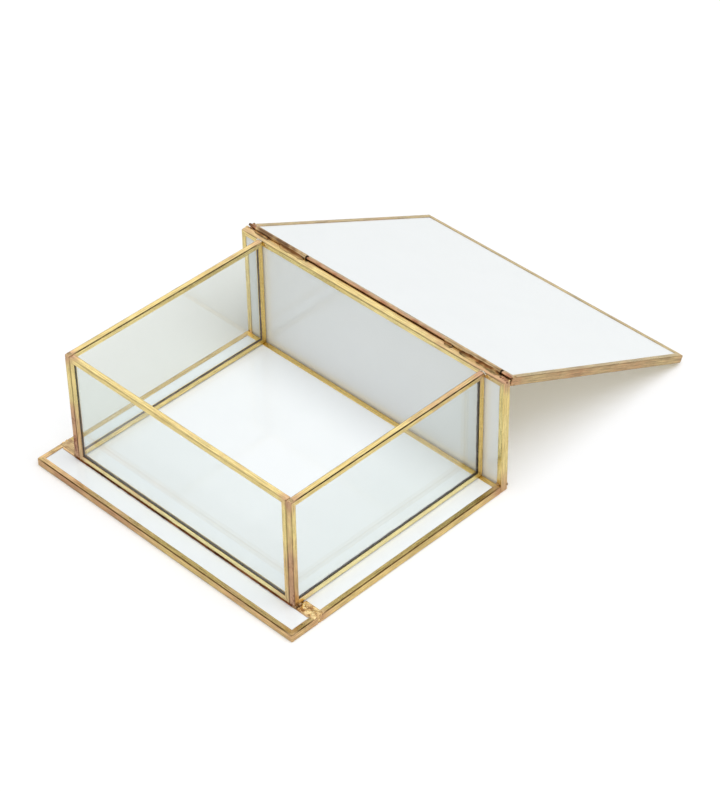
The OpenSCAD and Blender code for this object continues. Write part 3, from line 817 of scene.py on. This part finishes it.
# the dark strips stand for the shade in the channel's hollow
shadeStripLook = {
    "colour": (0.15, 0.12, 0.112, 1), "pale": (0.24, 0.20, 0.185, 1), "rough": 0.75,
    "wide": 0.8, "proud": 0.12,       # mm, how wide the line is, and how far it stands out of the glass
}


def shadeStripMaterial(look):
    # A dark strip, matt grey-brown, mottled, with a fine grain: painted shade of the channel's hollow seen
    # through the glass.
    material, tree, end = startMaterial("glazingCement")
    place = addNode(tree, "TexCoord").outputs["Object"]
    mottle = rise(tree, bumps(tree, place, 5, 4.0), 0.35, 0.7)
    colour = blendColour(tree, mottle, look["colour"], look["pale"])
    shader = addNode(tree, "BsdfPrincipled", {"Base Color": colour, "Roughness": look["rough"],
        "Normal": relief(tree, 0.4, 0.05, bumps(tree, place, 0.5))}).outputs[0]
    tree.links.new(shader, end.inputs[0])
    return {"material": material, "slot": "dark_solder"}


def shadeStripLine(name, pane, normal, inward, finish):
    # A thin dark strip of painted shade along the inside flanges, down one end, along the bottom and up the
    # other. Its section is a low ridge in the corner of glass and flange, carried along and mitred at its
    # turns.
    low, high = nodeBox(pane)
    side = 1 - normal
    edge = (-wallSide, wallSide) if pane == "front_glass" else (wallFront, inBack)
    face = high[normal] if inward > 0 else low[normal]
    under = 0.25                      # mm of the line that lie under the flange
    tip = wallWidth - under
    runs = [int((top - thick) / 2), int((edge[1] - edge[0]) / 2)]
    a = np.concatenate([np.full(runs[0], edge[0]), np.linspace(*edge, runs[1]), np.full(runs[0], edge[1])])
    z = np.concatenate([np.linspace(top - tip, thick, runs[0] + 1)[:-1], np.full(runs[1], thick),
        np.linspace(thick, top - tip, runs[0] + 1)[1:]])
    inA = np.where(a == edge[0], 1, 0) - np.where(a == edge[1], 1, 0)
    inZ = np.where(z == thick, 1, 0)
    wide = shadeStripLook["wide"] * (1 + 0.12 * waves(np.stack([a, z, 0 * a], -1), 6, 111))
    deep = np.stack([0 * wide, wide + under, 0.3 * wide + under, 0 * wide], -1) + tip
    out = np.array([-0.05, -0.05, shadeStripLook["proud"], shadeStripLook["proud"]])
    points = np.empty((len(a), 4, 3))
    points[..., side] = a[:, None] + inA[:, None] * deep
    points[..., 2] = z[:, None] + inZ[:, None] * deep
    points[..., normal] = face + inward * out
    points = points.reshape(-1, 3)
    addPiece(name, points, ringFaces(len(a), 4), finish, "box", [])


shadeStrip = shadeStripMaterial(shadeStripLook)
for pane, normal, inward in (("front_glass", axisY, 1), ("right_glass", axisX, -1), ("left_glass", axisX, 1)):
    shadeStripLine(pane.split("_")[0] + "Cement", pane, normal, inward, shadeStrip)
print("casket: glass set")


# floor, light and camera

studio = {
    "floorHalf": 6.0,   # m, half the floor's width
    "floor": (0.70, 0.732, 0.834, 1),   # its colour for the camera
    "floorLift": (0.315, 0.270, 0.165, 1),   # and what the camera sees on top
    "farStart": 0.33, "farEnd": 1.3, "farLift": 4.0,   # m, m, and how many times more lift there is beyond
    "floorBounce": (0.82, 0.81, 0.77, 1),   # its colour for other rays
    "throughLift": 0.12,   # share of the lift that mirrors and clear glass see
    "sky": 0.535, "skyColour": (0.975, 0.99, 1.0, 1),   # the world's light
    "band": 1.14, "dark": 0.10,   # its look in the metal, and that of its dark side
    "darkToward": (0.55, -0.54, 0.64), "darkInner": 0.94, "darkOuter": 0.78,
    "key": (1.1, -0.05, 3.6), "keySize": 3.3,   # m
    "keyPower": 102, "keyColour": (0.96, 0.985, 1.0),   # W
}


def seenRays(tree):
    # Three values that are one for a ray from the camera, through clear glass, or off a mirror, else nought.
    ray = addNode(tree, "LightPath").outputs
    return ray["Is Camera Ray"], ray["Is Transmission Ray"], ray["Is Glossy Ray"]


def placePiece(name, data, at, axes):
    # A lamp or camera at a point in metres, with its x, y and z along the three axes, each made one long.
    piece = bpy.data.objects.new(name, data)
    turn = np.stack([np.array(axis) / np.linalg.norm(axis) for axis in axes], 1)
    piece.matrix_world = Matrix.Translation(at.tolist()) @ Matrix(turn.tolist()).to_4x4()
    bpy.context.scene.collection.objects.link(piece)
    return piece


floorMesh = bpy.data.meshes.new("floor")
floorMesh.from_pydata([(x * studio["floorHalf"], y * studio["floorHalf"], 0)
    for x, y in ((-1, -1), (1, -1), (1, 1), (-1, 1))], [], [(0, 1, 2, 3)])
floorPiece = bpy.data.objects.new("floor", floorMesh)
bpy.context.scene.collection.objects.link(floorPiece)
floorMaterial, tree, end = startMaterial("paleFloor")
seen, through, glossy = seenRays(tree)
faint = sums(tree, "MULTIPLY", sums(tree, "MAXIMUM", glossy, through), studio["throughLift"])
place = addNode(tree, "TexCoord").outputs["Object"]
away = addNode(tree, "VectorMath", {0: place}, operation="LENGTH").outputs["Value"]
farLift = rise(tree, away, studio["farStart"], studio["farEnd"], 0.0, studio["farLift"])
# the far lift keeps the distant floor white
lift = sums(tree, "ADD", sums(tree, "MAXIMUM", seen, faint), sums(tree, "MULTIPLY", seen, farLift))
pale = blendColour(tree, seen, studio["floorBounce"], studio["floor"])
plain = addNode(tree, "BsdfDiffuse", {0: pale}).outputs[0]
glowing = addNode(tree, "Emission", {0: studio["floorLift"], 1: lift}).outputs[0]
tree.links.new(addNode(tree, "AddShader", {0: plain, 1: glowing}).outputs[0], end.inputs[0])
floorMesh.materials.append(floorMaterial)

world = bpy.data.worlds.new("studio")
bpy.context.scene.world = world
world.use_nodes = True
tree = world.node_tree
tree.nodes.clear()
end = addNode(tree, "OutputWorld")
seen, through, glossy = seenRays(tree)
way = addNode(tree, "TexCoord").outputs["Generated"]
toward = addNode(tree, "VectorMath", {0: way, 1: studio["darkToward"]}, operation="DOT_PRODUCT")
mirrored = rise(tree, toward.outputs["Value"], studio["darkOuter"], studio["darkInner"],
    studio["band"], studio["dark"])
bare = sums(tree, "MAXIMUM", seen, through)
level = blendValue(tree, bare, blendValue(tree, glossy, studio["sky"], mirrored), 1.0)
tint = blendColour(tree, sums(tree, "MAXIMUM", bare, glossy), studio["skyColour"], (1, 1, 1, 1))
tree.links.new(addNode(tree, "Background", {0: tint, 1: level}).outputs[0], end.inputs[0])

lamp = bpy.data.lights.new("key", "AREA")
lamp.size = studio["keySize"]
lamp.energy = studio["keyPower"]
lamp.color = studio["keyColour"]
at = np.array(studio["key"])
sideways = np.cross([0, 1, 0], at)
lampPiece = placePiece("key", lamp, at, [sideways, np.cross(at, sideways), at])
lampPiece.visible_glossy = False     # the metal and the white glass mirror the even world instead

view = {
    "azimuth": 45.0708, "elevation": 39.5961, "roll": -0.8854,   # degrees
    "distance": 1759.3051, "lookAt": (-63.9946, 53.2456, -57.4421),   # mm
    "lens": 133.9614, "sensor": 36,   # mm
    "clipStart": 0.05, "clipEnd": 50,   # m
}
azimuth, elevation, roll = (math.radians(view[key]) for key in ("azimuth", "elevation", "roll"))
level = math.cos(elevation)
ahead = np.array([-math.sin(azimuth) * level, math.cos(azimuth) * level, -math.sin(elevation)])
right = np.array([math.cos(azimuth), math.sin(azimuth), 0])
upward = np.cross(right, ahead)
rolled = [right * math.cos(roll) + upward * math.sin(roll), upward * math.cos(roll) - right * math.sin(roll)]
camera = bpy.data.cameras.new("camera")
camera.sensor_fit = "HORIZONTAL"
camera.sensor_width = view["sensor"]
camera.lens = view["lens"]
camera.clip_start, camera.clip_end = view["clipStart"], view["clipEnd"]
at = (np.array(view["lookAt"]) - ahead * view["distance"]) * mm
bpy.context.scene.camera = placePiece("camera", camera, at, [*rolled, -ahead])
bpy.context.scene.view_settings.view_transform = "Standard"
print("casket: studio ready")
